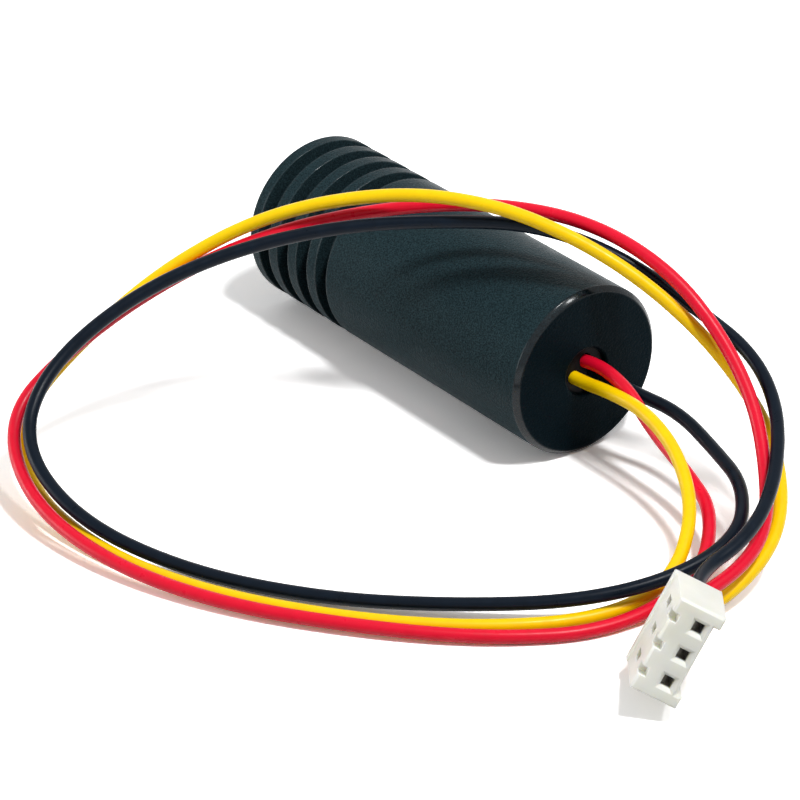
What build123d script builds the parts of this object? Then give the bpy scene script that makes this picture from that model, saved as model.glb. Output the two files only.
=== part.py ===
from build123d import *
import math
import os

# A laser diode module lying on a surface, in millimetres.
# The module's axis runs along Y: front (lens) end at -Y, wire end at +Y, Z up, surface at Z = 0.
# The rear face is the fixed end, because the wires leave there.

# Housing
body_diameter = 16.0
body_length = 40.0
rear_face_place = 20.0
rim_chamfer = 0.4
bore_share = 0.6875
recess_share = 0.725
recess_depth = 4.2
recess_chamfer = 0.3
rear_wall = 2.5
wire_hole_diameter = 4.4
wire_hole_chamfer = 0.2
groove_count = 4
front_land = 1.6
groove_width = 1.65
fin_width = 1.35
groove_depth = 1.5

# Diode holder
seat_clearance = 0.02
holder_chamfer = 0.25
cell_bore_depth = 7.6
light_bore_diameter = 5.0

# Lens cell, lens, retainer and tension ring
cell_share = 0.5375
cell_length = 6.0
cell_recess = 0.5
cell_wall = 0.8
cell_shoulder = 1.6
thread_clearance = 0.03
lens_clearance = 0.03
lens_edge_thickness = 1.6
lens_dome_height = 0.9
lens_dome_margin = 0.17
lens_seat_width = 0.7
retainer_thickness = 1.1
key_slot_width = 0.8
key_slot_depth = 0.6
ring_clearance = 0.1

# Laser diode
header_diameter = 5.6
header_thickness = 1.2
header_notch = 0.4
header_sink = 0.1
cap_diameter = 3.6
cap_height = 2.3
cap_wall = 0.2
window_hole = 1.4
window_diameter = 2.2
window_thickness = 0.25
chip_block_width = 1.6
chip_block_height = 1.5
chip_size = 0.3
chip_length = 0.6
pin_circle = 2.0
pin_diameter = 0.45
short_pin_length = 1.5
pin_lap = 2.5
pin_angles = [45, 135, 225]

# Driver board and what is on it
board_thickness = 1.0
board_length = 11.3
board_gap = 3.8
board_end_gap = 1.2
board_clearance = 0.08
pin_solder = 0.06
sleeve_thickness = 0.25
sleeve_gap = 0.8
sleeve_end_clearance = 0.2
lead_thickness = 0.15
joint_clearance = 0.02
pin_joint_length = 1.5
pin_joint_width = 1.1
pin_joint_start = 0.6
lead_rise = 0.55
edge_margin = 0.35
chip_body = (3.9, 5.0, 1.3)
chip_lead_pitch = 1.27
chip_lead_count = 4
chip_lead_width = 0.42
chip_lead_reach = 1.0
transistor_body = (1.3, 2.9, 1.0)
transistor_lead_pitch = 0.95
transistor_lead_width = 0.4
transistor_lead_reach = 0.55
transistor_along = -1.25
capacitor_body = (1.25, 2.0, 0.9)
capacitor_places = [(1, 2.35), (-1, 3.0)]
resistor_body = (0.8, 1.6, 0.45)
top_resistor_setback = 3.45
chip_resistor_gap = 0.3
end_cap_length = 0.35
end_cap_rise = 0.04
trimmer_body = (3.0, 3.2, 0.9)
trimmer_along = -0.35
trimmer_rotor_diameter = 2.2
trimmer_rotor_height = 0.6
trimmer_slot_width = 0.4
trimmer_slot_depth = 0.3

# Wires
wire_diameter = 1.2
conductor_diameter = 0.7
conductor_length = 1.2
solder_width = 1.2
solder_height = 1.15
solder_slope = 0.4
solder_setback = 0.95
seal_recess = 0.5
seal_clearance = 0.03

# Plug: row along its first axis, thickness along its second, mating direction along its third
plug_row_length = 8.4
plug_thickness = 4.2
plug_length = 6.8
plug_pitch = 2.5
plug_edge = 0.2
plug_rib_height = 0.55
plug_rib_width = 1.1
plug_collar_length = 0.9
plug_collar_height = 0.15
contact_offset = 0.48
cavity_size = 1.6
front_wall = 0.8
socket_hole = 0.9
lead_in = 0.3
lance_window_width = 0.8
lance_window_length = 1.6
lance_window_start = 2.6
side_notch_width = 0.8
side_notch_depth = 0.7
side_notch_length = 1.3
terminal_clearance = 0.05
terminal_wall = 0.25
terminal_start = 2.7
socket_floor = 0.4
crimp_width = 1.1
crimp_height = 0.9
grip_wall = 0.12
grip_clearance = 0.03
grip_length = 1.0
wire_end_clearance = 0.01
grip_floor = 0.2
lance_width = 0.6
lance_height = 0.25
lance_length = 0.8
lance_setback = 0.3
wire_depth = 1.5
plug_back_x = 17.63
plug_back_y = 51.91
plug_mating_direction = (0.615, 0.756, 0.223)
plug_row_direction = (0.475, -0.129, -0.871)

# Start of each wire, from the driver board out through the rear hole, measured from the hole's middle
wire_starts = {
    "yellow": [(1.5, -4.4, -0.2), (0.9, 0, -0.6), (1, 4.6, -0.4)],
    "red": [(0, -4.4, -0.2), (-0.3, 0, 1.2), (-0.4, 4.7, 0.6)],
    "black": [(-1.5, -4.4, -0.2), (-1, 0, -0.5), (-1.5, 4.8, -0.5)],
}
# Then each wire's free run, once round on the surface and over the body, and round again to the plug:
# points chosen by hand from how the wires lie.
wire_runs = {
    "yellow": [
        (1, 29.5, 7.1), (1.8, 34.8, 5.5), (4.6, 40, 3.3), (9.9, 43, 1.2), (17.2, 43.1, 0.6),
        (25.6, 38.6, 0.6), (33.8, 30.7, 0.6), (40.7, 20.4, 0.6), (44.5, 9.8, 0.9), (45, -1.1, 2.4),
        (41.2, -7.6, 5.8), (34.1, -8.4, 10.2), (25.7, -7.1, 15.4), (17.5, -3, 19.8), (9.9, 4.5, 22.5),
        (4.7, 12.4, 22.9), (0.5, 20, 20.8), (-3.3, 26, 16.9), (-5.8, 31.8, 12.1), (-5, 39, 8),
        (-0.2, 45.6, 4.2), (7.2, 48.2, 1.9), (15.13, 47.74, 0.96), (19.44, 53.03, 2.52)],
    "red": [
        (-0.5, 28.8, 6.4), (0.2, 33.6, 5), (2.3, 39.2, 3.8), (8.2, 44.6, 1.5), (18.1, 45, 0.6),
        (26.4, 40.2, 0.7), (33.8, 32.9, 0.9), (41.2, 22.7, 0.9), (45.5, 11.9, 1.4), (46.4, 1.4, 2.9),
        (43.4, -6.4, 6.4), (36.4, -7.2, 10.4), (27.5, -6, 14.6), (17.5, -3.2, 17.8), (8.9, 3.1, 20.2),
        (2, 10.1, 21.2), (-1.8, 18, 21.3), (-4, 25.5, 19.2), (-5, 31.2, 15.3), (-4, 37.2, 11.2),
        (-0.8, 42.6, 7.3), (3, 46.6, 5), (8.2, 48.6, 4), (14.62, 48.89, 3.39), (18.25, 53.35, 4.7)],
    "black": [
        (-2.8, 29.2, 7), (-2.5, 34.6, 6.5), (-0.6, 40.4, 5.8), (4.2, 45, 4.8), (11, 45.3, 3.4),
        (18.6, 41.8, 2.1), (26.4, 34.8, 1.2), (34.2, 26.6, 0.8), (40.5, 16.3, 0.8), (44.7, 6.4, 2.6),
        (44.6, -2, 5.9), (39.8, -5.9, 9.8), (31.6, -5.4, 14.5), (22.5, -2.5, 17.7), (13.6, 2.6, 19.6),
        (6.2, 9.2, 20.4), (1.8, 15.3, 21), (-2.2, 21.4, 19.3), (-6, 27, 15.4), (-7.5, 33, 13),
        (-5.2, 39, 10.8), (0, 44.5, 8.3), (5.8, 47.9, 6.6), (12.76, 48.38, 5.32), (17.06, 53.68, 6.88)],
}
plug_ways = {"black": -1, "red": 0, "yellow": 1}

# Derived sizes across the module's axis
bore_diameter = body_diameter * bore_share
recess_diameter = body_diameter * recess_share
cell_diameter = body_diameter * cell_share
cell_radius = cell_diameter / 2 - thread_clearance
lens_radius = cell_radius - cell_wall
aperture_radius = lens_radius - lens_seat_width
dome_radius = aperture_radius - lens_dome_margin

# Derived stations along the module, measured from the front face towards the wire end
axis_height = body_diameter / 2
bore_end = body_length - rear_wall
board_rear = bore_end - board_end_gap
board_front = board_rear - board_length
holder_rear = board_front - board_gap
cell_front = recess_depth + cell_recess
cell_rear = cell_front + cell_length
lens_flat = cell_rear - cell_shoulder
lens_rim = lens_flat - lens_edge_thickness
ring_seat = recess_depth + cell_bore_depth
header_rear = holder_rear - header_sink
header_front = header_rear - header_thickness
sleeve_start = holder_rear + sleeve_gap
sleeve_end = bore_end - sleeve_end_clearance

# Derived heights and radii, measured from the module's axis
groove_pitch = groove_width + fin_width
sleeve_outer_radius = bore_diameter / 2 - seat_clearance
sleeve_inner_radius = sleeve_outer_radius - sleeve_thickness
pin_drop = pin_circle / 2 * math.sin(math.radians(45))
board_top = -pin_drop - pin_diameter / 2 - pin_solder
board_bottom = board_top - board_thickness
board_edge_radius = sleeve_inner_radius - board_clearance
board_width = 2 * math.sqrt(board_edge_radius ** 2 - board_bottom ** 2)

# Each wire's whole route in the part's frame
wire_routes = {
    colour: [(x, rear_face_place + y, axis_height + z) for x, y, z in wire_starts[colour]] + wire_runs[colour]
    for colour in wire_runs
}

os.makedirs("parts", exist_ok=True)

# Local frame of the module: Z from the front face towards the wires, X across, Y pointing down
module_frame = Plane(origin=(0, rear_face_place - body_length, axis_height), x_dir=(1, 0, 0), z_dir=(0, 1, 0))

centred = (Align.CENTER, Align.CENTER, Align.CENTER)
standing = (Align.CENTER, Align.CENTER, Align.MIN)


def save(node, shape):
    """Write one node, placed in the part's frame."""
    export_step(shape, f"parts/{node}.step")


def save_group(node, shapes):
    """Write several like pieces as one node."""
    solids = [solid for shape in shapes for solid in shape.solids()]
    export_step(Compound(children=solids), f"parts/{node}.step")


def in_module(shape):
    """Move a shape built about the module's own axis to where the module lies."""
    return module_frame.location * shape


def turned(profile):
    """Solid of revolution from (radius, station) points."""
    outline = Polyline(*[(radius, 0, station) for radius, station in profile], close=True)
    return revolve(make_face(outline), Axis.Z)


def ring(outer_radius, inner_radius, start, end):
    """Plain tube between two stations."""
    return turned([(inner_radius, start), (outer_radius, start), (outer_radius, end), (inner_radius, end)])


def board_frame(across, along, below=False):
    """Where a component sits, measured from the board's middle: X across, Y along, Z away from its face."""
    height = board_bottom if below else board_top
    spot = (across, -height, board_front + board_length / 2 + along)
    if below:
        return Plane(origin=spot, x_dir=(-1, 0, 0), z_dir=(0, 1, 0)).location
    return Plane(origin=spot, x_dir=(1, 0, 0), z_dir=(0, -1, 0)).location


def make_housing():
    """One turned piece: grooved front, recess and blind bore, flat rear wall with the wire hole."""
    outer = body_diameter / 2
    root = outer - groove_depth
    recess = recess_diameter / 2
    bore = bore_diameter / 2
    hole = wire_hole_diameter / 2
    profile = [
        (bore, recess_depth), (recess, recess_depth), (recess, recess_chamfer), (recess + recess_chamfer, 0),
        (outer - rim_chamfer, 0), (outer, rim_chamfer),
    ]
    for index in range(groove_count):
        start = front_land + index * groove_pitch
        end = start + groove_width
        profile += [(outer, start), (root, start), (root, end), (outer, end)]
    profile += [
        (outer, body_length - rim_chamfer),
        (outer - rim_chamfer, body_length),
        (hole + wire_hole_chamfer, body_length),
        (hole, body_length - wire_hole_chamfer),
        (hole, bore_end),
        (bore, bore_end),
    ]
    return turned(profile)


def make_diode_holder():
    """Brass slug: thread bore for the lens cell in front, light bore, seat for the header behind."""
    outer = bore_diameter / 2 - seat_clearance
    header_seat = header_diameter / 2 + seat_clearance
    cell_bore = cell_diameter / 2
    light_bore = light_bore_diameter / 2
    return turned([
        (cell_bore, recess_depth), (outer - holder_chamfer, recess_depth), (outer, recess_depth + holder_chamfer),
        (outer, holder_rear - holder_chamfer), (outer - holder_chamfer, holder_rear), (header_seat, holder_rear),
        (header_seat, header_front), (light_bore, header_front), (light_bore, ring_seat), (cell_bore, ring_seat),
    ])


def make_lens_cell():
    """Brass cell with a shoulder for the lens and two slots for the focusing key."""
    cell = turned([
        (lens_radius, cell_front), (cell_radius, cell_front), (cell_radius, cell_rear), (aperture_radius, cell_rear),
        (aperture_radius, lens_flat), (lens_radius, lens_flat),
    ])
    slot = Location((0, 0, cell_front)) * Box(cell_diameter, key_slot_width, 2 * key_slot_depth, align=centred)
    return cell - slot


def make_lens():
    """Moulded lens: dome towards the front inside a flat rim."""
    rim = lens_radius - lens_clearance
    dome = dome_radius
    crest = lens_rim - lens_dome_height
    sphere = (dome ** 2 + lens_dome_height ** 2) / (2 * lens_dome_height)
    half_reach = dome / 2
    half_rise = sphere - math.sqrt(sphere ** 2 - half_reach ** 2)
    outline = Polyline((0, 0, crest), (0, 0, lens_flat), (rim, 0, lens_flat), (rim, 0, lens_rim), (dome, 0, lens_rim))
    outline += ThreePointArc((dome, 0, lens_rim), (half_reach, 0, crest + half_rise), (0, 0, crest))
    return revolve(make_face(outline), Axis.Z)


def make_lens_retainer():
    """Threaded ring that holds the lens on its shoulder, slotted for a key."""
    outer = lens_radius - lens_clearance
    inner = dome_radius + lens_clearance
    start = lens_rim - retainer_thickness
    slot = Location((0, 0, start)) * Box(key_slot_width, cell_diameter, key_slot_depth, align=centred)
    return ring(outer, inner, start, lens_rim) - slot


def make_tension_ring():
    """Rubber ring squeezed between the cell and the holder's step, so that the focus stays set."""
    cord = (ring_seat - cell_rear - 2 * seat_clearance) / 2
    centre = cell_diameter / 2 - ring_clearance - cord
    return Location((0, 0, (cell_rear + ring_seat) / 2)) * Torus(centre, cord)


def make_diode_header():
    """Stamped header with its two rim notches and the key notch."""
    outer = header_diameter / 2
    header = Location((0, 0, header_front)) * Cylinder(outer, header_thickness, align=standing)
    for angle in (0, 180, 270):
        notch = Box(header_notch, header_notch, 3 * header_thickness, align=centred)
        header -= Rotation(0, 0, angle) * Location((outer, 0, header_rear), (0, 0, 45)) * notch
    return header


def make_diode_cap():
    """Drawn can with a round opening over the chip."""
    outer = cap_diameter / 2
    inner = outer - cap_wall
    top = header_front - cap_height
    return turned([
        (window_hole / 2, top), (outer, top), (outer, header_front), (inner, header_front),
        (inner, top + cap_wall), (window_hole / 2, top + cap_wall),
    ])


def make_diode_window():
    """Glass disc sealed inside the cap's opening."""
    start = header_front - cap_height + cap_wall
    return Location((0, 0, start)) * Cylinder(window_diameter / 2, window_thickness, align=standing)


def make_chip_block():
    """Half-round heat sink post with the laser chip on its flat."""
    post = Cylinder(chip_block_width / 2, chip_block_height, align=standing)
    waste = Box(2 * chip_block_width, chip_block_width, 3 * chip_block_height, align=centred)
    post -= Location((0, -chip_block_width / 2, 0)) * waste
    chip = Box(chip_size, chip_size, chip_length, align=standing)
    post += Location((0, -chip_size / 2, chip_block_height - chip_length)) * chip
    return Location((0, 0, header_front), (180, 0, 0)) * post


def make_diode_pins():
    """Two leads that reach over the board, and the trimmed case lead."""
    pins = []
    for angle in pin_angles:
        reach = board_front + pin_lap - header_rear if angle < 180 else short_pin_length
        place = Rotation(0, 0, angle) * Location((pin_circle / 2, 0, header_rear))
        pins.append(place * Cylinder(pin_diameter / 2, reach, align=standing))
    return pins


def make_driver_board():
    """Board held by its two long edges in the sleeve."""
    slab = Box(board_width, board_length, board_thickness, align=(Align.CENTER, Align.CENTER, Align.MAX))
    return board_frame(0, 0) * slab


def make_sleeve():
    """Insulating tube between the board and the bore."""
    return ring(sleeve_outer_radius, sleeve_inner_radius, sleeve_start, sleeve_end)


def gull_lead(start, reach, width, shoulder):
    """One bent lead along X: out of the body, down to the board, and its foot."""
    drop = start + reach * 0.35
    foot = start + reach * 0.6
    outline = Polyline(
        (start, 0, shoulder), (drop, 0, shoulder), (foot, 0, lead_thickness), (start + reach, 0, lead_thickness),
        (start + reach, 0, 0), (foot - lead_thickness, 0, 0), (drop - lead_thickness, 0, shoulder - lead_thickness),
        (start, 0, shoulder - lead_thickness), close=True)
    return extrude(make_face(outline), amount=width / 2, both=True)


def package(size, leads, reach, width):
    """Moulded body on bent leads, each lead given by its side and its place along the body."""
    stand_off = lead_thickness / 2
    shoulder = size[2] * lead_rise
    body = Location((0, 0, stand_off)) * Box(size[0], size[1], size[2] - stand_off, align=standing)
    for side, along in leads:
        lead = gull_lead(size[0] / 2, reach, width, shoulder)
        turn = Rotation(0, 0, 180) if side < 0 else Rotation(0, 0, 0)
        body += Location((0, along, 0)) * (turn * lead)
    return body


def make_driver_chip():
    """Eight-lead driver chip under the board."""
    first = -(chip_lead_count - 1) / 2
    leads = [(side, (first + index) * chip_lead_pitch) for side in (-1, 1) for index in range(chip_lead_count)]
    chip = package(chip_body, leads, chip_lead_reach, chip_lead_width)
    return board_frame(0, 0, below=True) * chip


def make_transistor():
    """Three-lead transistor beside the diode's leads."""
    leads = [(-1, -transistor_lead_pitch), (-1, transistor_lead_pitch), (1, 0)]
    case = package(transistor_body, leads, transistor_lead_reach, transistor_lead_width)
    across = board_width / 2 - edge_margin - transistor_body[0] / 2 - transistor_lead_reach
    return board_frame(across, transistor_along) * case


def two_ended(size):
    """Ceramic body between two plated end caps."""
    body = Location((0, 0, end_cap_rise)) * Box(size[0], size[1], size[2] - end_cap_rise, align=standing)
    for side in (-1, 1):
        end_cap = Box(size[0] + 2 * end_cap_rise, end_cap_length, size[2] + end_cap_rise, align=standing)
        body += Location((0, side * (size[1] - end_cap_length + end_cap_rise) / 2, 0)) * end_cap
    return body


def make_capacitors():
    """Ceramic capacitors along the board's two edges."""
    across = board_width / 2 - edge_margin - capacitor_body[0] / 2
    return [board_frame(side * across, along) * two_ended(capacitor_body) for side, along in capacitor_places]


def make_resistors():
    """Chip resistors down the middle of the board, one above and one below at either end of the chip."""
    top = board_length / 2 - top_resistor_setback
    low = (chip_body[1] + resistor_body[1]) / 2 + chip_resistor_gap
    places = [(top, False), (low, True), (-low, True)]
    return [board_frame(0, along, below) * two_ended(resistor_body) for along, below in places]


def make_trimmer():
    """Square trimmer with a slotted rotor that sets the diode's current."""
    body = Box(*trimmer_body, align=standing)
    top = trimmer_body[2] + trimmer_rotor_height
    body += Cylinder(trimmer_rotor_diameter / 2, top, align=standing)
    body -= Location((0, 0, top)) * Box(
        trimmer_rotor_diameter * 0.8, trimmer_slot_width, 2 * trimmer_slot_depth, align=centred)
    across = board_width / 2 - edge_margin - trimmer_body[0] / 2
    return board_frame(-across, trimmer_along) * body


def arc_radii(points):
    """Each corner's arc: 0.45 of its shorter run over the tangent of half its turn."""
    corners = [Vector(*point) for point in points]
    radii = []
    for before, corner, after in zip(corners, corners[1:], corners[2:]):
        turn = math.radians((corner - before).get_angle(after - corner))
        shorter = min((corner - before).length, (after - corner).length)
        radii.append(0.45 * shorter / math.tan(turn / 2))
    return radii


def wire_tube(points, diameter):
    """Round tube along straight runs joined by tangent arcs."""
    path = FilletPolyline(*points, radius=arc_radii(points))
    section = Plane(origin=path @ 0, z_dir=path % 0) * Circle(diameter / 2)
    return sweep(section, path=path)


def make_seal():
    """Potting in the rear hole, round the three wires."""
    length = rear_wall - seal_recess
    seal = Cylinder(wire_hole_diameter / 2 - seat_clearance, length, align=standing)
    seal = in_module(Location((0, 0, bore_end)) * seal)
    for points in wire_routes.values():
        seal -= wire_tube(points[:4], wire_diameter + 2 * seal_clearance)
    return seal


def make_solder_joints():
    """Joints of the wires' bared ends and of the diode's two leads."""
    joints = []
    board_level = axis_height + board_top
    for points in wire_routes.values():
        start = Vector(*points[0])
        bared = Plane(origin=start, z_dir=start - Vector(*points[1]))
        joint = bared.location * Cylinder(conductor_diameter / 2, conductor_length, align=standing)
        foot = Box(solder_width, solder_width, solder_height, align=standing)
        foot = chamfer(foot.faces().sort_by(Axis.Z)[-1].edges(), solder_slope)
        joint += Location((start.X, start.Y - solder_setback, board_level)) * foot
        joints.append(joint)
    for side in (-1, 1):
        across = side * pin_drop
        bead = Box(pin_joint_width, pin_joint_length, pin_diameter / 2 + pin_solder, align=standing)
        bead = in_module(board_frame(across, pin_joint_start + (pin_joint_length - board_length) / 2) * bead)
        lead = Location((across, pin_drop, board_front)) * Cylinder(
            pin_diameter / 2 + joint_clearance, board_length, align=centred)
        joints.append(bead - in_module(lead))
    return joints


def plug_frame():
    """Plug's own frame at the middle of its wire side, with its lowest corner on the surface."""
    mating = Vector(*plug_mating_direction).normalized()
    row = Vector(*plug_row_direction)
    row = (row - mating * row.dot(mating)).normalized()
    thick = mating.cross(row)
    height = plug_row_length / 2 * abs(row.Z) + plug_thickness / 2 * abs(thick.Z)
    return Plane(origin=(plug_back_x, plug_back_y, height), x_dir=row, z_dir=mating)


def plug_box(width, depth, length, place, along):
    """Box in the plug's frame, centred across the row and the thickness."""
    return Location((place[0], place[1], along)) * Box(width, depth, length, align=standing)


def make_plug_housing():
    """Moulded housing: collar, two ribs, and per way a cavity, socket hole, window and notch."""
    low = -plug_thickness / 2 + plug_collar_height
    high = plug_thickness / 2 - plug_rib_height
    plug = plug_box(plug_row_length, high - low, plug_length, (0, (low + high) / 2), 0)
    plug += plug_box(plug_row_length, plug_collar_height, plug_collar_length, (0, low - plug_collar_height / 2), 0)
    rib_place = (plug_row_length - plug_rib_width) / 2
    for side in (-1, 1):
        plug += plug_box(
            plug_rib_width, plug_rib_height, plug_length, (side * rib_place, high + plug_rib_height / 2), 0)
    plug = chamfer(plug.edges().filter_by(Axis.Z).group_by(Axis.Y)[0], plug_collar_height / 2)
    plug = chamfer(plug.faces().sort_by(Axis.Z)[-1].outer_wire().edges(), plug_edge)
    for way in plug_ways.values():
        spot = (way * plug_pitch, contact_offset)
        cavity_end = plug_length - front_wall
        plug -= plug_box(cavity_size, cavity_size, cavity_end, spot, 0)
        plug -= plug_box(socket_hole, socket_hole, plug_length, spot, 0)
        mouth = socket_hole + 2 * lead_in
        plug -= loft([
            Plane(origin=(*spot, plug_length - lead_in)) * Rectangle(socket_hole, socket_hole),
            Plane(origin=(*spot, plug_length)) * Rectangle(mouth, mouth),
        ])
        window_depth = contact_offset - low
        plug -= plug_box(
            lance_window_width, window_depth, lance_window_length,
            (spot[0], low + window_depth / 2), lance_window_start)
        plug -= plug_box(
            side_notch_width, 2 * side_notch_depth, side_notch_length,
            (spot[0], low), plug_length - side_notch_length)
    return plug_frame().location * plug


def make_terminal(way):
    """Crimp terminal: insulation grip, crimp, box socket and its locking lance."""
    spot = (way * plug_pitch, contact_offset)
    size = cavity_size - 2 * terminal_clearance
    front = plug_length - front_wall - terminal_clearance
    grip_radius = wire_diameter / 2 + grip_clearance
    grip = Cylinder(grip_radius + grip_wall, grip_length + grip_floor, align=standing)
    grip -= Cylinder(grip_radius, grip_length + wire_end_clearance, align=standing)
    terminal = Location((*spot, wire_depth - grip_length)) * grip
    neck_start = wire_depth + grip_floor
    terminal += plug_box(crimp_width, crimp_height, terminal_start - neck_start, spot, neck_start)
    terminal += plug_box(size, size, front - terminal_start, spot, terminal_start)
    opening = size - 2 * terminal_wall
    socket_start = terminal_start + socket_floor
    terminal -= plug_box(opening, opening, front - socket_start, spot, socket_start)
    lance_spot = (spot[0], spot[1] - size / 2 - lance_height / 2)
    terminal += plug_box(lance_width, lance_height, lance_length, lance_spot, terminal_start + lance_setback)
    return plug_frame().location * terminal


module_nodes = {
    "housing": make_housing(),
    "diode_holder": make_diode_holder(),
    "lens_cell": make_lens_cell(),
    "collimating_lens": make_lens(),
    "lens_retainer": make_lens_retainer(),
    "tension_ring": make_tension_ring(),
    "diode_header": make_diode_header(),
    "diode_cap": make_diode_cap(),
    "diode_window": make_diode_window(),
    "diode_chip_block": make_chip_block(),
    "insulating_sleeve": make_sleeve(),
    "driver_board": make_driver_board(),
    "driver_chip": make_driver_chip(),
    "transistor": make_transistor(),
    "current_trimmer": make_trimmer(),
}
for node, shape in module_nodes.items():
    save(node, in_module(shape))
save_group("diode_pins", [in_module(pin) for pin in make_diode_pins()])
save_group("capacitors", [in_module(piece) for piece in make_capacitors()])
save_group("resistors", [in_module(piece) for piece in make_resistors()])
save_group("solder_joints", make_solder_joints())
save("wire_seal", make_seal())
for colour, points in wire_routes.items():
    tube = wire_tube(points, wire_diameter)
    save(f"wire_{colour}", tube)
    save(f"terminal_{colour}", make_terminal(plug_ways[colour]))
    path_length = FilletPolyline(*points, radius=arc_radii(points)).length
    share = tube.volume / (math.pi * wire_diameter ** 2 / 4 * path_length)
    print(f"wire_{colour}: {path_length:.1f} mm long, volume over section times length {share:.4f}")
    print("  arc radii", " ".join(f"{radius:.1f}" for radius in arc_radii(points)))
save("plug_housing", make_plug_housing())
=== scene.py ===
import math
import bmesh
import bpy
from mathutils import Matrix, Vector


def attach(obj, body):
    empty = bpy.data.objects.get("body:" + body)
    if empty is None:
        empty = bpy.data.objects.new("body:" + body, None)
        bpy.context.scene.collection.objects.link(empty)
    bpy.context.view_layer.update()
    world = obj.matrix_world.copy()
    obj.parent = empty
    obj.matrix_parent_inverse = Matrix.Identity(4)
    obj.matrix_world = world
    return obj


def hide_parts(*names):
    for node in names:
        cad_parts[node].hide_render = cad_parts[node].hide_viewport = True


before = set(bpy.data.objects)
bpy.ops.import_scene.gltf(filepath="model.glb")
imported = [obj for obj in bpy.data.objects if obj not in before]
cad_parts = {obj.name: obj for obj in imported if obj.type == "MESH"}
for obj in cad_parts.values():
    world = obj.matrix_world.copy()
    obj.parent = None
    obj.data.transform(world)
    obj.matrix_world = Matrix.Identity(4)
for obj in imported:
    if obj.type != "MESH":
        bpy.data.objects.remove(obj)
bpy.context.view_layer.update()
print("frame loaded:", len(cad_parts), "nodes")

# Camera, set to the photograph's viewing angle
cameraSettings = {
    "place": (0.185327, 0.235027, 0.160780),
    "tilt": 60.98,
    "heading": 142.55,
    "lens": 165.06,
    "sensor": 36,
    "shiftUp": 0.02,
    "near": 0.01,
    "far": 10,
}


def makeCamera(values):
    data = bpy.data.cameras.new("photoCamera")
    data.lens = values["lens"]
    data.sensor_width = values["sensor"]
    data.shift_y = values["shiftUp"]
    data.clip_start = values["near"]
    data.clip_end = values["far"]
    camera = bpy.data.objects.new("photoCamera", data)
    camera.location = values["place"]
    camera.rotation_euler = (math.radians(values["tilt"]), 0, math.radians(values["heading"]))
    bpy.context.scene.collection.objects.link(camera)
    bpy.context.scene.camera = camera


makeCamera(cameraSettings)

# Lead wires: each route runs from the driver board through the rear hole, once round over the body,
# and round again into the plug. Points in metres, listed one by one.
wireSettings = {
    "diameter": 0.0012,
    "stepsPerPoint": 14,
    "roundness": 7,
}

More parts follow.
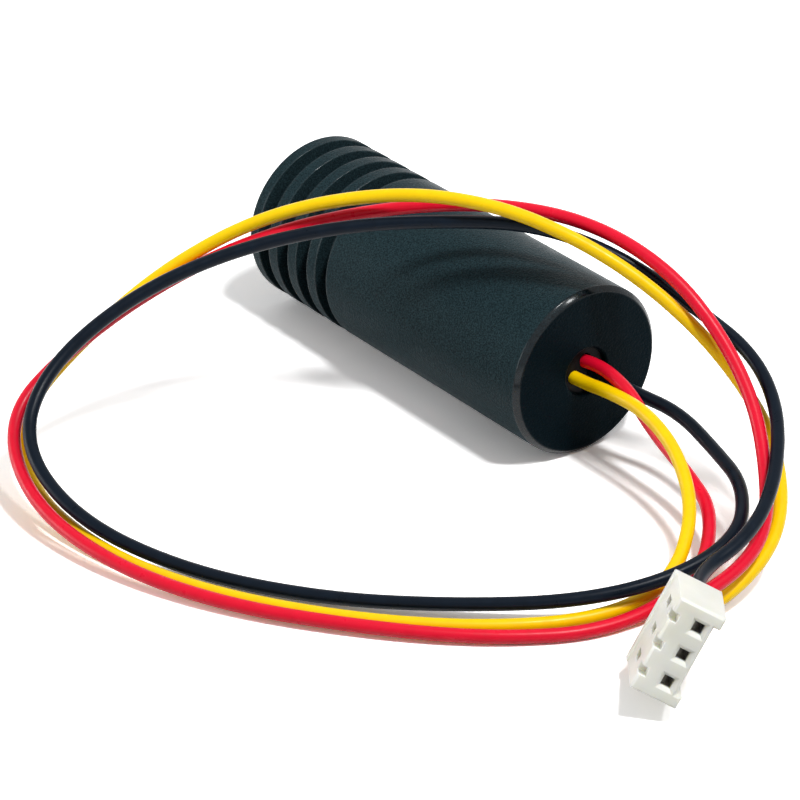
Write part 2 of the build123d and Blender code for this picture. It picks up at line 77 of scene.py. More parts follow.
wires = {
    "yellow": {
        "length": 0.2151,
        "route": [
            (0.0015, 0.0156, 0.0078), (0.0009, 0.02, 0.0074), (0.001, 0.0244, 0.0082),
            (0.001, 0.0292, 0.0083), (0.0018, 0.0344, 0.0068), (0.0044, 0.0394, 0.004),
            (0.0099, 0.043, 0.0012), (0.0172, 0.0431, 0.0006), (0.0256, 0.0386, 0.0006),
            (0.0338, 0.0307, 0.0006), (0.0407, 0.0204, 0.0006), (0.0445, 0.0098, 0.0009),
            (0.045, -0.0011, 0.0024), (0.0412, -0.0076, 0.0058), (0.0341, -0.0084, 0.0102),
            (0.0257, -0.0071, 0.0154), (0.0175, -0.003, 0.0198), (0.0099, 0.0045, 0.0225),
            (0.0047, 0.0124, 0.0229), (0.0005, 0.02, 0.0208), (-0.0033, 0.026, 0.0169),
            (-0.0058, 0.0318, 0.0121), (-0.005, 0.039, 0.008), (-0.0002, 0.0456, 0.0042),
            (0.0072, 0.0482, 0.0019), (0.01513, 0.04774, 0.00096), (0.01944, 0.05303, 0.00252),
        ],
    },
    "red": {
        "length": 0.2168,
        "route": [
            (0, 0.0156, 0.0078), (-0.0003, 0.02, 0.0092), (-0.0004, 0.0247, 0.0086),
            (-0.0002, 0.0287, 0.0059), (0.0003, 0.0337, 0.0043), (0.0021, 0.0394, 0.0035),
            (0.0082, 0.0446, 0.0015), (0.0181, 0.045, 0.0006), (0.0264, 0.0402, 0.0007),
            (0.0338, 0.0329, 0.0009), (0.0412, 0.0227, 0.0009), (0.0455, 0.0119, 0.0014),
            (0.0464, 0.0014, 0.0029), (0.0434, -0.0064, 0.0064), (0.0364, -0.0072, 0.0104),
            (0.0275, -0.006, 0.0146), (0.0175, -0.0032, 0.0178), (0.0089, 0.0031, 0.0202),
            (0.002, 0.0101, 0.0212), (-0.0018, 0.018, 0.0213), (-0.004, 0.0255, 0.0192),
            (-0.005, 0.0312, 0.0153), (-0.004, 0.0372, 0.0112), (-0.0008, 0.0426, 0.0073),
            (0.003, 0.0466, 0.005), (0.0082, 0.0486, 0.004), (0.01462, 0.04889, 0.00339),
            (0.01825, 0.05335, 0.0047),
        ],
    },
    "black": {
        "length": 0.2113,
        "route": [
            (-0.0015, 0.0156, 0.0078), (-0.001, 0.02, 0.0075), (-0.0015, 0.0248, 0.0075),
            (-0.0028, 0.0292, 0.007), (-0.002, 0.0346, 0.0061), (-0.0004, 0.0402, 0.0057),
            (0.0042, 0.045, 0.0048), (0.011, 0.0453, 0.0034), (0.0186, 0.0418, 0.0021),
            (0.0264, 0.0348, 0.0012), (0.0342, 0.0266, 0.0008), (0.0405, 0.0163, 0.0008),
            (0.0447, 0.0064, 0.0026), (0.0446, -0.002, 0.0059), (0.0398, -0.0059, 0.0098),
            (0.0316, -0.0054, 0.0145), (0.0225, -0.0025, 0.0177), (0.0136, 0.0026, 0.0196),
            (0.0062, 0.0092, 0.0204), (0.0018, 0.0153, 0.021), (-0.0022, 0.0214, 0.0193),
            (-0.006, 0.027, 0.0154), (-0.0075, 0.033, 0.013), (-0.0052, 0.039, 0.0108),
            (0, 0.0445, 0.0083), (0.0058, 0.0479, 0.0066), (0.01276, 0.04838, 0.00532),
            (0.01706, 0.05368, 0.00688),
        ],
    },
}


def makeWire(colour, values):
    curve = bpy.data.curves.new("wire_" + colour + "_cover", "CURVE")
    curve.dimensions = "3D"
    curve.resolution_u = wireSettings["stepsPerPoint"]
    curve.bevel_depth = 1.0    # times each point's radius, so that the curve's own box is right too
    curve.bevel_resolution = wireSettings["roundness"]
    curve.use_fill_caps = True
    spline = curve.splines.new("NURBS")
    spline.points.add(len(values["route"]) - 1)
    for point, place in zip(spline.points, values["route"]):
        point.co = (*place, 1)
        point.radius = wireSettings["diameter"] / 2
    spline.order_u = 3
    spline.use_endpoint_u = True
    piece = bpy.data.objects.new("wire_" + colour + "_cover", curve)
    bpy.context.scene.collection.objects.link(piece)
    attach(piece, "root")
    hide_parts("wire_" + colour)
    return piece


wirePieces = {}
for colour, values in wires.items():
    wirePieces[colour] = makeWire(colour, values)
print("wires made")


# Shader helpers
def newMaterial(name):
    material = bpy.data.materials.new(name)
    material.use_nodes = True
    tree = material.node_tree
    return material, tree, tree.nodes["Principled BSDF"]


def feed(tree, socket, value):
    # a number or a colour is set on the socket, and another node's output is linked to it
    if isinstance(value, bpy.types.NodeSocket):
        tree.links.new(value, socket)
    else:
        socket.default_value = value


def addNode(tree, kind, **inputs):
    node = tree.nodes.new(kind)
    for socket, value in inputs.items():
        feed(tree, node.inputs[socket], value)
    return node


def addMath(tree, operation, first, second):
    node = tree.nodes.new("ShaderNodeMath")
    node.operation = operation
    feed(tree, node.inputs[0], first)
    feed(tree, node.inputs[1], second)
    return node.outputs[0]


def spreadValue(tree, factor, low, high, fromLow=0.0, fromHigh=1.0):
    spread = tree.nodes.new("ShaderNodeMapRange")
    feed(tree, spread.inputs["Value"], factor)
    feed(tree, spread.inputs["To Min"], low)
    feed(tree, spread.inputs["To Max"], high)
    feed(tree, spread.inputs["From Min"], fromLow)
    feed(tree, spread.inputs["From Max"], fromHigh)
    return spread.outputs[0]


def newGroup(name, inputs, outputs):
    group = bpy.data.node_groups.new(name, "ShaderNodeTree")
    for socketName, kind, value in inputs:
        socket = group.interface.new_socket(socketName, in_out="INPUT", socket_type=kind)
        if value is not None:
            socket.default_value = value
    for socketName, kind in outputs:
        group.interface.new_socket(socketName, in_out="OUTPUT", socket_type=kind)
    start = group.nodes.new("NodeGroupInput")
    end = group.nodes.new("NodeGroupOutput")
    return group, start, end


speckleValues = {
    "detail": 3.0,
    "roughness": 0.65,
    "cellShare": 0.55,
    "fromRange": (0.4, 0.62),
    "middle": 0.5,
}


def makeSpeckleGroup(values):
    # fine random grain, as on blasted metal, moulded plastic and glass-filled board
    group, start, end = newGroup(
        "speckleGrain",
        [("Vector", "NodeSocketVector", None), ("Scale", "NodeSocketFloat", 8000.0),
         ("Contrast", "NodeSocketFloat", 0.5)],
        [("Mask", "NodeSocketFloat"), ("Height", "NodeSocketFloat")])
    where = start.outputs["Vector"]
    scale = start.outputs["Scale"]
    fine = addNode(group, "ShaderNodeTexNoise", Vector=where, Scale=scale, Detail=values["detail"],
                   Roughness=values["roughness"])
    cells = addNode(group, "ShaderNodeTexVoronoi", Vector=where,
                    Scale=addMath(group, "MULTIPLY", scale, values["cellShare"]))
    cells.feature = "F1"
    spread = addMath(group, "MULTIPLY", start.outputs["Contrast"], 0.5)
    low = addMath(group, "SUBTRACT", values["middle"], spread)
    high = addMath(group, "ADD", spread, values["middle"])
    feed(group, end.inputs["Mask"], spreadValue(group, fine.outputs[0], low, high, *values["fromRange"]))
    feed(group, end.inputs["Height"], addMath(group, "ADD", fine.outputs[0], cells.outputs["Distance"]))
    return group


turningValues = {
    "detail": 4.0,
    "roughness": 0.6,
}


def makeTurningGroup(values):
    # tool marks of a piece turned about an axis along Y at the height given
    group, start, end = newGroup(
        "turningMarks",
        [("Vector", "NodeSocketVector", None), ("Axis Height", "NodeSocketFloat", 0.008),
         ("Scale", "NodeSocketFloat", 9000.0)],
        [("Along", "NodeSocketFloat"), ("Face", "NodeSocketFloat")])
    parts = group.nodes.new("ShaderNodeSeparateXYZ")
    feed(group, parts.inputs[0], start.outputs["Vector"])
    rise = addMath(group, "SUBTRACT", parts.outputs["Z"], start.outputs["Axis Height"])
    across = addNode(group, "ShaderNodeCombineXYZ", X=parts.outputs["X"], Z=rise)
    reach = group.nodes.new("ShaderNodeVectorMath")
    reach.operation = "LENGTH"
    feed(group, reach.inputs[0], across.outputs[0])
    for name, place in (("Along", parts.outputs["Y"]), ("Face", reach.outputs["Value"])):
        marks = addNode(group, "ShaderNodeTexNoise", Scale=start.outputs["Scale"],
                        Detail=values["detail"], Roughness=values["roughness"])
        marks.noise_dimensions = "1D"
        feed(group, marks.inputs["W"], place)
        feed(group, end.inputs[name], marks.outputs[0])
    return group


wearValues = {
    "edgeRange": (0.3, 1.0),
    "patchRange": (0.4, 0.62),
    "detail": 3.0,
    "roughness": 0.6,
}


def makeWearGroup(values):
    # rubbed edges: where the piece's edge attribute says so, broken up by noise
    group, start, end = newGroup(
        "edgeWear",
        [("Vector", "NodeSocketVector", None), ("Amount", "NodeSocketFloat", 0.5),
         ("Scale", "NodeSocketFloat", 1500.0)],
        [("Mask", "NodeSocketFloat"), ("Edge", "NodeSocketFloat")])
    shape = group.nodes.new("ShaderNodeAttribute")
    shape.attribute_type = "GEOMETRY"
    shape.attribute_name = "edgeShare"
    edge = spreadValue(group, shape.outputs["Fac"], 0.0, 1.0, *values["edgeRange"])
    patch = addNode(group, "ShaderNodeTexNoise", Vector=start.outputs["Vector"],
                    Scale=start.outputs["Scale"], Detail=values["detail"], Roughness=values["roughness"])
    broken = spreadValue(group, patch.outputs[0], 0.0, 1.0, *values["patchRange"])
    both = addMath(group, "MULTIPLY", edge, broken)
    feed(group, end.inputs["Mask"], addMath(group, "MULTIPLY", both, start.outputs["Amount"]))
    feed(group, end.inputs["Edge"], edge)
    return group


speckleGroup = makeSpeckleGroup(speckleValues)
turningGroup = makeTurningGroup(turningValues)
wearGroup = makeWearGroup(wearValues)


def placeGroup(tree, group, coordinates, **inputs):
    node = addNode(tree, "ShaderNodeGroup")
    node.node_tree = group
    feed(tree, node.inputs["Vector"], coordinates)
    for socket, value in inputs.items():
        node.inputs[socket].default_value = value
    return node


def mixColours(tree, factor, first, second):
    mix = tree.nodes.new("ShaderNodeMix")
    mix.data_type = "RGBA"
    feed(tree, mix.inputs["Factor"], factor)
    for socket, colour in ((mix.inputs[6], first), (mix.inputs[7], second)):
        feed(tree, socket, (*colour, 1) if isinstance(colour, tuple) else colour)
    return mix.outputs[2]


def addBump(tree, shader, height, strength, distance):
    bump = addNode(tree, "ShaderNodeBump", Strength=strength, Distance=distance, Height=height)
    feed(tree, shader.inputs["Normal"], bump.outputs[0])


def objectPlace(tree):
    return tree.nodes.new("ShaderNodeTexCoord").outputs["Object"]


# Black anodised aluminium: fine cool speckle, a darker colour on the rear face and rim chamfer as painted
# shade, glossy along its rubbed edges
anodisedValues = {
    "dark": (0.0, 0.0006, 0.001),
    "light": (0.03, 0.06, 0.071),
    # painted shade: the rear face and its rim chamfer take this darker colour
    "paintedShadeFace": (0.004, 0.013, 0.02),
    "paintedShadeFrom": (0.01945, 0.0196),
    "worn": (0.2, 0.22, 0.23),
    "grainScale": 8000.0,
    "grainContrast": 0.5,
    "roughness": (0.3, 0.4),
    "wornRoughness": 0.2,
    "gloss": 0.02,
    "glossTint": (0.55, 0.95, 1.0),
    "grainHeight": 0.00006,
    "edgeCoat": 0.45,
    "edgeCoatRoughness": 0.15,
    "wear": 0.03,
    "wearScale": 2500.0,
    "grainStrength": 0.5,
    "patchScale": 220.0,
    "patchDetail": 4.0,
    "patchRange": (0.3, 0.7),
}


def makeAnodised(name, values):
    material, tree, shader = newMaterial(name)
    where = objectPlace(tree)
    grain = placeGroup(tree, speckleGroup, where, Scale=values["grainScale"],
                       Contrast=values["grainContrast"])
    wear = placeGroup(tree, wearGroup, where, Amount=values["wear"], Scale=values["wearScale"])
    patches = addNode(tree, "ShaderNodeTexNoise", Vector=where, Scale=values["patchScale"],
                      Detail=values["patchDetail"])
    parts = tree.nodes.new("ShaderNodeSeparateXYZ")
    feed(tree, parts.inputs[0], where)
    # painted shade: from this station back, the rear face and rim chamfer are coloured darker than the
    # barrel
    rearFaceShade = spreadValue(tree, parts.outputs["Y"], 0.0, 1.0, *values["paintedShadeFrom"])
    light = mixColours(tree, rearFaceShade, values["light"], values["paintedShadeFace"])
    tone = mixColours(tree, grain.outputs["Mask"], values["dark"], light)
    feed(tree, shader.inputs["Base Color"], mixColours(tree, wear.outputs["Mask"], tone, values["worn"]))
    dull = spreadValue(tree, patches.outputs[0], *values["roughness"], *values["patchRange"])
    rubbed = addNode(tree, "ShaderNodeMix", Factor=wear.outputs["Edge"], A=dull,
                     B=values["wornRoughness"])
    coat = spreadValue(tree, wear.outputs["Edge"], 0.0, values["edgeCoat"])
    feed(tree, shader.inputs["Roughness"], rubbed.outputs["Result"])
    feed(tree, shader.inputs["Metallic"], 0.0)
    feed(tree, shader.inputs["Specular IOR Level"], values["gloss"])
    feed(tree, shader.inputs["Specular Tint"], (*values["glossTint"], 1))
    feed(tree, shader.inputs["Coat Weight"], coat)
    feed(tree, shader.inputs["Coat Roughness"], values["edgeCoatRoughness"])
    addBump(tree, shader, grain.outputs["Height"], values["grainStrength"], values["grainHeight"])
    return material


# Glossy PVC wire cover: even colour with faint flow marks
coverFinish = {
    "flowScale": 900.0,
    "flowDetail": 4.0,
    "flowRoughness": 0.55,
    "secondShare": 0.6,
    "secondRange": (0.4, 0.75),
    "rough": (0.26, 0.4),
    "roughRange": (0.3, 0.7),
    "grainScale": 12000.0,
    "grainContrast": 0.6,
    "grainStrength": 0.35,
    "grainHeight": 0.000008,
}

coverValues = {
    "yellow": {"main": (1.0, 0.66, 0.0), "second": (0.92, 0.55, 0.0), "gloss": 0.22},
    "red": {"main": (0.8, 0.004, 0.03), "second": (0.68, 0.003, 0.022), "gloss": 0.22},
    "black": {"main": (0.001, 0.005, 0.012), "second": (0.002, 0.008, 0.018), "gloss": 0.12},
}


def makeCover(colour, values, finish):
    material, tree, shader = newMaterial("cover_" + colour)
    where = objectPlace(tree)
    flow = addNode(tree, "ShaderNodeTexNoise", Vector=where, Scale=finish["flowScale"],
                   Detail=finish["flowDetail"], Roughness=finish["flowRoughness"])
    grain = placeGroup(tree, speckleGroup, where, Scale=finish["grainScale"],
                       Contrast=finish["grainContrast"])
    factor = spreadValue(tree, flow.outputs[0], 0.0, finish["secondShare"], *finish["secondRange"])
    rough = spreadValue(tree, flow.outputs[0], *finish["rough"], *finish["roughRange"])
    feed(tree, shader.inputs["Base Color"], mixColours(tree, factor, values["main"], values["second"]))
    feed(tree, shader.inputs["Roughness"], rough)
    feed(tree, shader.inputs["Specular IOR Level"], values["gloss"])
    addBump(tree, shader, grain.outputs["Height"], finish["grainStrength"], finish["grainHeight"])
    return material


# Moulded plastics, rubber and film: a base tone, a second tone in soft clouds, fine surface grain
plasticFinish = {
    "cloudDetail": 3.0,
    "cloudRange": (0.35, 0.75),
    "grainContrast": 0.5,
    "grainStrength": 0.4,
    "softRadius": (0.0014, 0.0012, 0.0008),
    "gloss": 0.5,
}

plasticValues = {
    "plugNylon": {"main": (0.86, 0.86, 0.79), "second": (0.78, 0.78, 0.69), "rough": (0.36, 0.5),
                  "cloud": 260.0, "grain": 5000.0, "height": 0.00001, "soft": 0.6},
    "boardMask": {"main": (0.03, 0.2, 0.08), "second": (0.02, 0.14, 0.055), "rough": (0.28, 0.4),
                  "cloud": 700.0, "grain": 3500.0, "height": 0.00001, "soft": 0.0},
    "packageBlack": {"main": (0.03, 0.03, 0.033), "second": (0.045, 0.045, 0.048), "rough": (0.5, 0.65),
                     "cloud": 1200.0, "grain": 9000.0, "height": 0.00001, "soft": 0.0},
    "capacitorTan": {"main": (0.52, 0.38, 0.23), "second": (0.42, 0.3, 0.18), "rough": (0.4, 0.55),
                     "cloud": 1500.0, "grain": 9000.0, "height": 0.000008, "soft": 0.0},
    "resistorDark": {"main": (0.02, 0.02, 0.024), "second": (0.05, 0.05, 0.055), "rough": (0.25, 0.4),
                     "cloud": 1500.0, "grain": 9000.0, "height": 0.000006, "soft": 0.0},
    "trimmerWhite": {"main": (0.78, 0.78, 0.74), "second": (0.7, 0.7, 0.65), "rough": (0.4, 0.5),
                     "cloud": 900.0, "grain": 6000.0, "height": 0.000008, "soft": 0.1},
    "sleeveFilm": {"main": (0.62, 0.38, 0.08), "second": (0.5, 0.28, 0.05), "rough": (0.2, 0.35),
                   "cloud": 400.0, "grain": 5000.0, "height": 0.000006, "soft": 0.1},
    "pottingBlack": {"main": (0.003, 0.003, 0.004), "second": (0.008, 0.008, 0.009), "rough": (0.45, 0.65),
                     "cloud": 1800.0, "grain": 5000.0, "height": 0.00004, "soft": 0.0, "gloss": 0.08},
    "ringRubber": {"main": (0.015, 0.015, 0.015), "second": (0.03, 0.03, 0.03), "rough": (0.5, 0.7),
                   "cloud": 900.0, "grain": 7000.0, "height": 0.00001, "soft": 0.0},
}


def makePlastic(name, values, finish):
    material, tree, shader = newMaterial(name)
    where = objectPlace(tree)
    cloud = addNode(tree, "ShaderNodeTexNoise", Vector=where, Scale=values["cloud"],
                    Detail=finish["cloudDetail"])
    grain = placeGroup(tree, speckleGroup, where, Scale=values["grain"], Contrast=finish["grainContrast"])
    factor = spreadValue(tree, cloud.outputs[0], 0.0, 1.0, *finish["cloudRange"])
    feed(tree, shader.inputs["Base Color"], mixColours(tree, factor, values["main"], values["second"]))
    feed(tree, shader.inputs["Roughness"], spreadValue(tree, grain.outputs["Mask"], *values["rough"]))
    feed(tree, shader.inputs["Specular IOR Level"], values.get("gloss", finish["gloss"]))
    feed(tree, shader.inputs["Subsurface Weight"], values["soft"])
    feed(tree, shader.inputs["Subsurface Radius"], finish["softRadius"])
    feed(tree, shader.inputs["Subsurface Scale"], 1.0)
    addBump(tree, shader, grain.outputs["Height"], finish["grainStrength"], values["height"])
    return material


# Bare and plated metals: turned or stamped, with dulled patches
metalFinish = {
    "patchScale": 900.0,
    "patchDetail": 5.0,
    "dullRange": (0.42, 0.72),
    "roughRange": (0.3, 0.7),
    "markStrength": 0.15,
    "markHeight": 0.000006,
}

metalValues = {
    "turnedBrass": {"main": (0.72, 0.5, 0.2), "dull": (0.5, 0.33, 0.12),
                    "rough": (0.2, 0.38), "marks": 14000.0},
    "cellBrass": {"main": (0.7, 0.49, 0.2), "dull": (0.45, 0.3, 0.11),
                  "rough": (0.22, 0.4), "marks": 18000.0},
    "goldPlate": {"main": (0.85, 0.6, 0.22), "dull": (0.74, 0.5, 0.17),
                  "rough": (0.15, 0.28), "marks": 16000.0},
    "capSteel": {"main": (0.62, 0.6, 0.56), "dull": (0.45, 0.44, 0.42),
                 "rough": (0.2, 0.35), "marks": 15000.0},
    "solderTin": {"main": (0.62, 0.63, 0.65), "dull": (0.4, 0.41, 0.43),
                  "rough": (0.22, 0.45), "marks": 4000.0},
    "terminalTin": {"main": (0.62, 0.61, 0.58), "dull": (0.4, 0.39, 0.37),
                    "rough": (0.25, 0.45), "marks": 9000.0},
}


def makeMetal(name, values, finish):
    material, tree, shader = newMaterial(name)
    where = objectPlace(tree)
    marks = placeGroup(tree, turningGroup, where, Scale=values["marks"])
    patches = addNode(tree, "ShaderNodeTexNoise", Vector=where, Scale=finish["patchScale"],
                      Detail=finish["patchDetail"])
    factor = spreadValue(tree, patches.outputs[0], 0.0, 1.0, *finish["dullRange"])
    rough = spreadValue(tree, patches.outputs[0], *values["rough"], *finish["roughRange"])
    both = addMath(tree, "ADD", marks.outputs["Along"], marks.outputs["Face"])
    feed(tree, shader.inputs["Base Color"], mixColours(tree, factor, values["main"], values["dull"]))
    feed(tree, shader.inputs["Roughness"], rough)
    feed(tree, shader.inputs["Metallic"], 1.0)
    addBump(tree, shader, both, finish["markStrength"], finish["markHeight"])
    return material


# Clear lens and window glass with faint dust in the roughness
glassFinish = {
    "dustScale": 3000.0,
    "dustContrast": 1.0,
    "dustRange": (0.6, 1.0),
    "ior": 1.5,
}

glassValues = {
    "lensGlass": {"tint": (0.86, 0.93, 0.97), "rough": (0.0, 0.05)},
    "windowGlass": {"tint": (0.93, 0.96, 0.97), "rough": (0.0, 0.06)},
}


def makeGlass(name, values, finish):
    material, tree, shader = newMaterial(name)
    dust = placeGroup(tree, speckleGroup, objectPlace(tree), Scale=finish["dustScale"],
                      Contrast=finish["dustContrast"])
    rough = spreadValue(tree, dust.outputs["Mask"], *values["rough"], *finish["dustRange"])
    feed(tree, shader.inputs["Roughness"], rough)
    feed(tree, shader.inputs["Base Color"], (*values["tint"], 1))
    feed(tree, shader.inputs["Transmission Weight"], 1.0)
    feed(tree, shader.inputs["IOR"], finish["ior"])
    feed(tree, shader.inputs["Metallic"], 0.0)
    return material


materials = {}
materials["anodised"] = makeAnodised("anodised_black", anodisedValues)
for colour, values in coverValues.items():
    materials[colour] = makeCover(colour, values, coverFinish)
for name, values in plasticValues.items():
    materials[name] = makePlastic(name, values, plasticFinish)
for name, values in metalValues.items():
    materials[name] = makeMetal(name, values, metalFinish)
for name, values in glassValues.items():
    materials[name] = makeGlass(name, values, glassFinish)
for colour, piece in wirePieces.items():
    piece.data.materials.append(materials[colour])
print("materials made")

# Housing, turned about its axis: all radii and stations in metres, stations from the front face
housingValues = {
    "front": -0.020,
    "axisHeight": 0.008,
    "length": 0.040,
    "radius": 0.008,
    "rimChamfer": 0.0004,
    "recessRadius": 0.0058,
    "recessDepth": 0.0042,
    "recessChamfer": 0.0003,
    "boreRadius": 0.0055,
    "boreEnd": 0.0375,
    "holeRadius": 0.0022,
    "holeChamfer": 0.0002,
    "grooves": 4,
    "frontLand": 0.0016,
    "grooveWidth": 0.00165,
    "finWidth": 0.00135,
    "grooveDepth": 0.0015,
    "steps": 192,
    "edgeRound": 0.00007,
    "support": 0.00022,
    "rubbedFrom": 0.004,
    "mergeDistance": 0.000001,
    "edgeSegments": 3,
}

edgeFinish = {
    "sharpAngle": 28,
    "segments": 2,
    "normalWeight": 60,
}


def placeMesh(name, bm):
    mesh = bpy.data.meshes.new(name)
    bm.to_mesh(mesh)
    bm.free()
    piece = bpy.data.objects.new(name, mesh)
    bpy.context.scene.collection.objects.link(piece)
    return piece


def spinProfile(name, profile, values):
    # long lines of the outline get a point near each end, so that shading stays even beside their
    # edges, and the outline's own corners are marked for the rubbed edges
    bm = bmesh.new()
    edgeShare = bm.verts.layers.float.new("edgeShare")
    axisHeight = values["axisHeight"]
    support = values["support"]
    verts = []
    for (radius, place), (nextRadius, nextPlace) in zip(profile, profile[1:] + profile[:1]):
        verts.append(bm.verts.new((0, place, axisHeight + radius)))
        if radius > values["rubbedFrom"]:
            verts[-1][edgeShare] = 1.0
        run = math.hypot(nextRadius - radius, nextPlace - place)
        if run > 3 * support:
            for share in (support / run, 1 - support / run):
                verts.append(bm.verts.new((0, place + (nextPlace - place) * share,
                                           axisHeight + radius + (nextRadius - radius) * share)))
    edges = [bm.edges.new(pair) for pair in zip(verts, verts[1:] + verts[:1])]
    bmesh.ops.spin(bm, geom=verts + edges, cent=(0, 0, axisHeight), axis=(0, 1, 0),
                   angle=2 * math.pi, steps=values["steps"], use_merge=True)
    bmesh.ops.remove_doubles(bm, verts=bm.verts, dist=values["mergeDistance"])
    bmesh.ops.recalc_face_normals(bm, faces=bm.faces)
    return placeMesh(name, bm)


def finishPiece(piece, node, material, edgeRound, segments):
    sharpAngle = math.radians(edgeFinish["sharpAngle"])
    piece.data.materials.clear()
    piece.data.materials.append(material)
    for polygon in piece.data.polygons:
        polygon.use_smooth = True
    piece.data.set_sharp_from_angle(angle=sharpAngle)
    if edgeRound > 0:
        bevel = piece.modifiers.new("edgeRound", "BEVEL")
        bevel.width = edgeRound
        bevel.segments = segments
        bevel.limit_method = "ANGLE"
        bevel.angle_limit = sharpAngle
        weighted = piece.modifiers.new("evenNormals", "WEIGHTED_NORMAL")
        weighted.weight = edgeFinish["normalWeight"]
    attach(piece, "root")
    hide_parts(node)
    return piece


def makeHousing(values):
    front = values["front"]
    outer = values["radius"]
    root = outer - values["grooveDepth"]
    rim = values["rimChamfer"]
    recess = values["recessRadius"]
    hole = values["holeRadius"]
    profile = [
        (values["boreRadius"], values["recessDepth"]), (recess, values["recessDepth"]),
        (recess, values["recessChamfer"]), (recess + values["recessChamfer"], 0),
        (outer - rim, 0), (outer, rim),
    ]
    for index in range(values["grooves"]):
        start = values["frontLand"] + index * (values["grooveWidth"] + values["finWidth"])
        end = start + values["grooveWidth"]
        profile += [(outer, start), (root, start), (root, end), (outer, end)]
    length = values["length"]
    profile += [
        (outer, length - rim), (outer - rim, length), (hole + values["holeChamfer"], length),
        (hole, length - values["holeChamfer"]), (hole, values["boreEnd"]),
        (values["boreRadius"], values["boreEnd"]),
    ]
    placed = [(radius, front + station) for radius, station in profile]
    piece = spinProfile("housing_turned", placed, values)
    finishPiece(piece, "housing", materials["anodised"], values["edgeRound"],
                values["edgeSegments"])


makeHousing(housingValues)
print("housing made")

# Pieces whose CAD shape is right: a cleaned copy with softened edges and its own finish
copyFinish = {
    "mergeDistance": 0.000002,
    "flatAngle": 0.5,
}

copies = {
    "diode_holder": {"slot": "brass", "material": "turnedBrass", "edgeRound": 0.00005},
    "lens_cell": {"slot": "cell_brass", "material": "cellBrass", "edgeRound": 0.00004},
    "collimating_lens": {"slot": "lens_glass", "material": "lensGlass", "edgeRound": 0},
    "lens_retainer": {"slot": "retainer_black", "material": "anodised", "edgeRound": 0.00005},
    "tension_ring": {"slot": "ring_rubber", "material": "ringRubber", "edgeRound": 0},
    "diode_header": {"slot": "gold_plate", "material": "goldPlate", "edgeRound": 0.00004},
    "diode_cap": {"slot": "cap_steel", "material": "capSteel", "edgeRound": 0.00006},
    "diode_window": {"slot": "window_glass", "material": "windowGlass", "edgeRound": 0},
    "diode_chip_block": {"slot": "gold_plate", "material": "goldPlate", "edgeRound": 0.00003},
    "diode_pins": {"slot": "gold_plate", "material": "goldPlate", "edgeRound": 0.00004},
    "driver_board": {"slot": "board_green", "material": "boardMask", "edgeRound": 0.00005},
    "driver_chip": {"slot": "package_black", "material": "packageBlack", "edgeRound": 0.00003},
    "transistor": {"slot": "package_black", "material": "packageBlack", "edgeRound": 0.00003},
    "capacitors": {"slot": "capacitor_tan", "material": "capacitorTan", "edgeRound": 0.00003},
    "resistors": {"slot": "resistor_dark", "material": "resistorDark", "edgeRound": 0.00003},
    "current_trimmer": {"slot": "trimmer_white", "material": "trimmerWhite", "edgeRound": 0.00004},
    "solder_joints": {"slot": "solder", "material": "solderTin", "edgeRound": 0.00008},
    "insulating_sleeve": {"slot": "sleeve_film", "material": "sleeveFilm", "edgeRound": 0},
    "wire_seal": {"slot": "potting_black", "material": "pottingBlack", "edgeRound": 0.00005},
    "plug_housing": {"slot": "plug_ivory", "material": "plugNylon", "edgeRound": 0.00009},
    "terminal_yellow": {"slot": "terminal_tin", "material": "terminalTin", "edgeRound": 0.00003},
    "terminal_red": {"slot": "terminal_tin", "material": "terminalTin", "edgeRound": 0.00003},
    "terminal_black": {"slot": "terminal_tin", "material": "terminalTin", "edgeRound": 0.00003},
}


def makeCopy(node, values, finish):
    bm = bmesh.new()
    bm.from_mesh(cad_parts[node].data)
    bmesh.ops.remove_doubles(bm, verts=bm.verts, dist=finish["mergeDistance"])
    bmesh.ops.dissolve_limit(bm, angle_limit=math.radians(finish["flatAngle"]), verts=bm.verts,
                             edges=bm.edges)
    piece = placeMesh(node + "_finished", bm)
    attributes = piece.data.attributes
    if "custom_normal" in attributes:
        attributes.remove(attributes["custom_normal"])
    return finishPiece(piece, node, materials[values["material"]], values["edgeRound"],
                       edgeFinish["segments"])


for node, values in copies.items():
    makeCopy(node, values, copyFinish)
print("inner pieces and plug made")

# Floor, lamps and world
stageValues = {
    "lampAim": (0.012, 0.016, 0.005),
    "floorSize": 4.0,
    "floorDrop": 0.00002,
    "floorRoughness": 0.9,
    "floorGloss": 0.1,
    "seenLight": 1.0,
    "floorColour": (0.42, 0.42, 0.425),
    "floorSeen": (1.7, 1.7, 1.7),
    "skyLight": (0.05, 0.45),
}

lamps = {
    "key": {"place": (-0.01, 0.24, 0.5), "size": 0.08, "power": 1.9},
    "glint": {"place": (-0.13, 0.32, 0.4), "size": 0.06, "power": 0.5},
    "back": {"place": (-0.4, -0.42, 0.18), "size": 0.35, "power": 0.2},
    "side": {"place": (0.5, -0.42, 0.12), "size": 0.42, "power": 2.5},
}


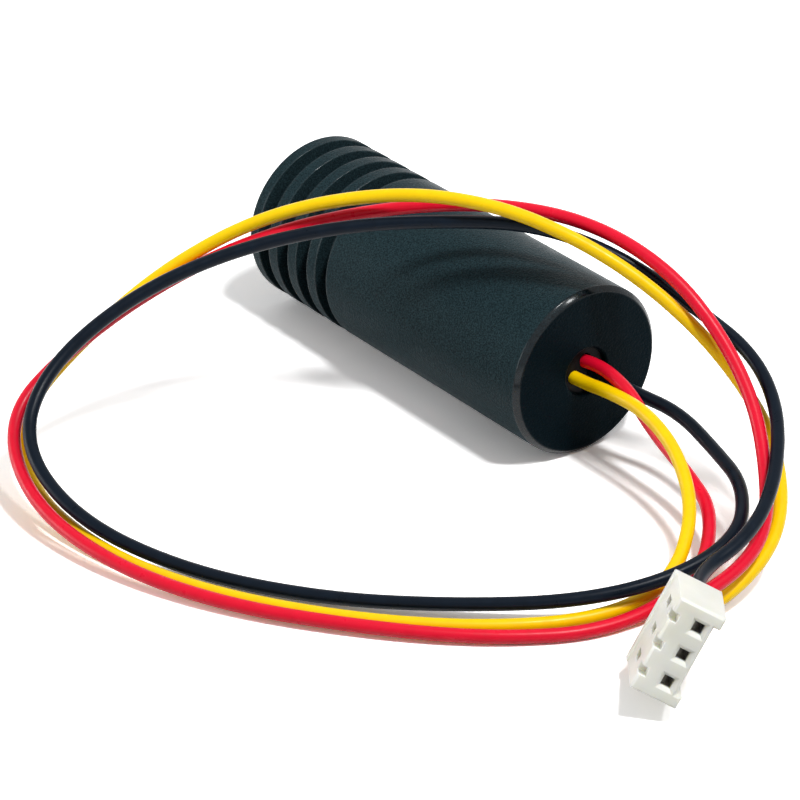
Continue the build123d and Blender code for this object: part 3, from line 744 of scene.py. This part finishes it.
def makeSeen(tree):
    # 1 where the camera looks at it, straight, mirrored or through glass, and 0 where it only gives light
    path = tree.nodes.new("ShaderNodeLightPath")
    mirrored = addMath(tree, "MAXIMUM", path.outputs["Is Glossy Ray"],
                       path.outputs["Is Transmission Ray"])
    return addMath(tree, "MAXIMUM", path.outputs["Is Camera Ray"], mirrored)


def makeFloor(values):
    bm = bmesh.new()
    bmesh.ops.create_grid(bm, x_segments=1, y_segments=1, size=values["floorSize"] / 2)
    bmesh.ops.translate(bm, verts=bm.verts, vec=(0, 0, -values["floorDrop"]))
    floor = placeMesh("floor", bm)
    material, tree, shader = newMaterial("floor_paper")
    colour = mixColours(tree, makeSeen(tree), values["floorColour"], values["floorSeen"])
    feed(tree, shader.inputs["Base Color"], colour)
    feed(tree, shader.inputs["Roughness"], values["floorRoughness"])
    feed(tree, shader.inputs["Specular IOR Level"], values["floorGloss"])
    floor.data.materials.append(material)


def makeLamp(name, values, target):
    data = bpy.data.lights.new(name, "AREA")
    data.shape = "DISK"
    data.size = values["size"]
    data.energy = values["power"]
    lamp = bpy.data.objects.new(name, data)
    lamp.location = values["place"]
    aim = Vector(target) - Vector(values["place"])
    lamp.rotation_euler = aim.to_track_quat("-Z", "Y").to_euler()
    bpy.context.scene.collection.objects.link(lamp)


def makeWorld(values):
    # pale all round as seen, and a soft sky for the light: dimmer near the horizon
    world = bpy.data.worlds.new("paleStudio")
    bpy.context.scene.world = world
    world.use_nodes = True
    tree = world.node_tree
    background = tree.nodes["Background"]
    parts = tree.nodes.new("ShaderNodeSeparateXYZ")
    feed(tree, parts.inputs[0], tree.nodes.new("ShaderNodeTexCoord").outputs["Generated"])
    sky = spreadValue(tree, parts.outputs["Z"], *values["skyLight"])
    strength = addNode(tree, "ShaderNodeMix", Factor=makeSeen(tree), A=sky, B=values["seenLight"])
    feed(tree, background.inputs["Strength"], strength.outputs["Result"])
    feed(tree, background.inputs["Color"], (1, 1, 1, 1))


makeFloor(stageValues)
for name, values in lamps.items():
    makeLamp(name, values, stageValues["lampAim"])
makeWorld(stageValues)
bpy.context.scene.view_settings.view_transform = "Standard"
print("stage made")
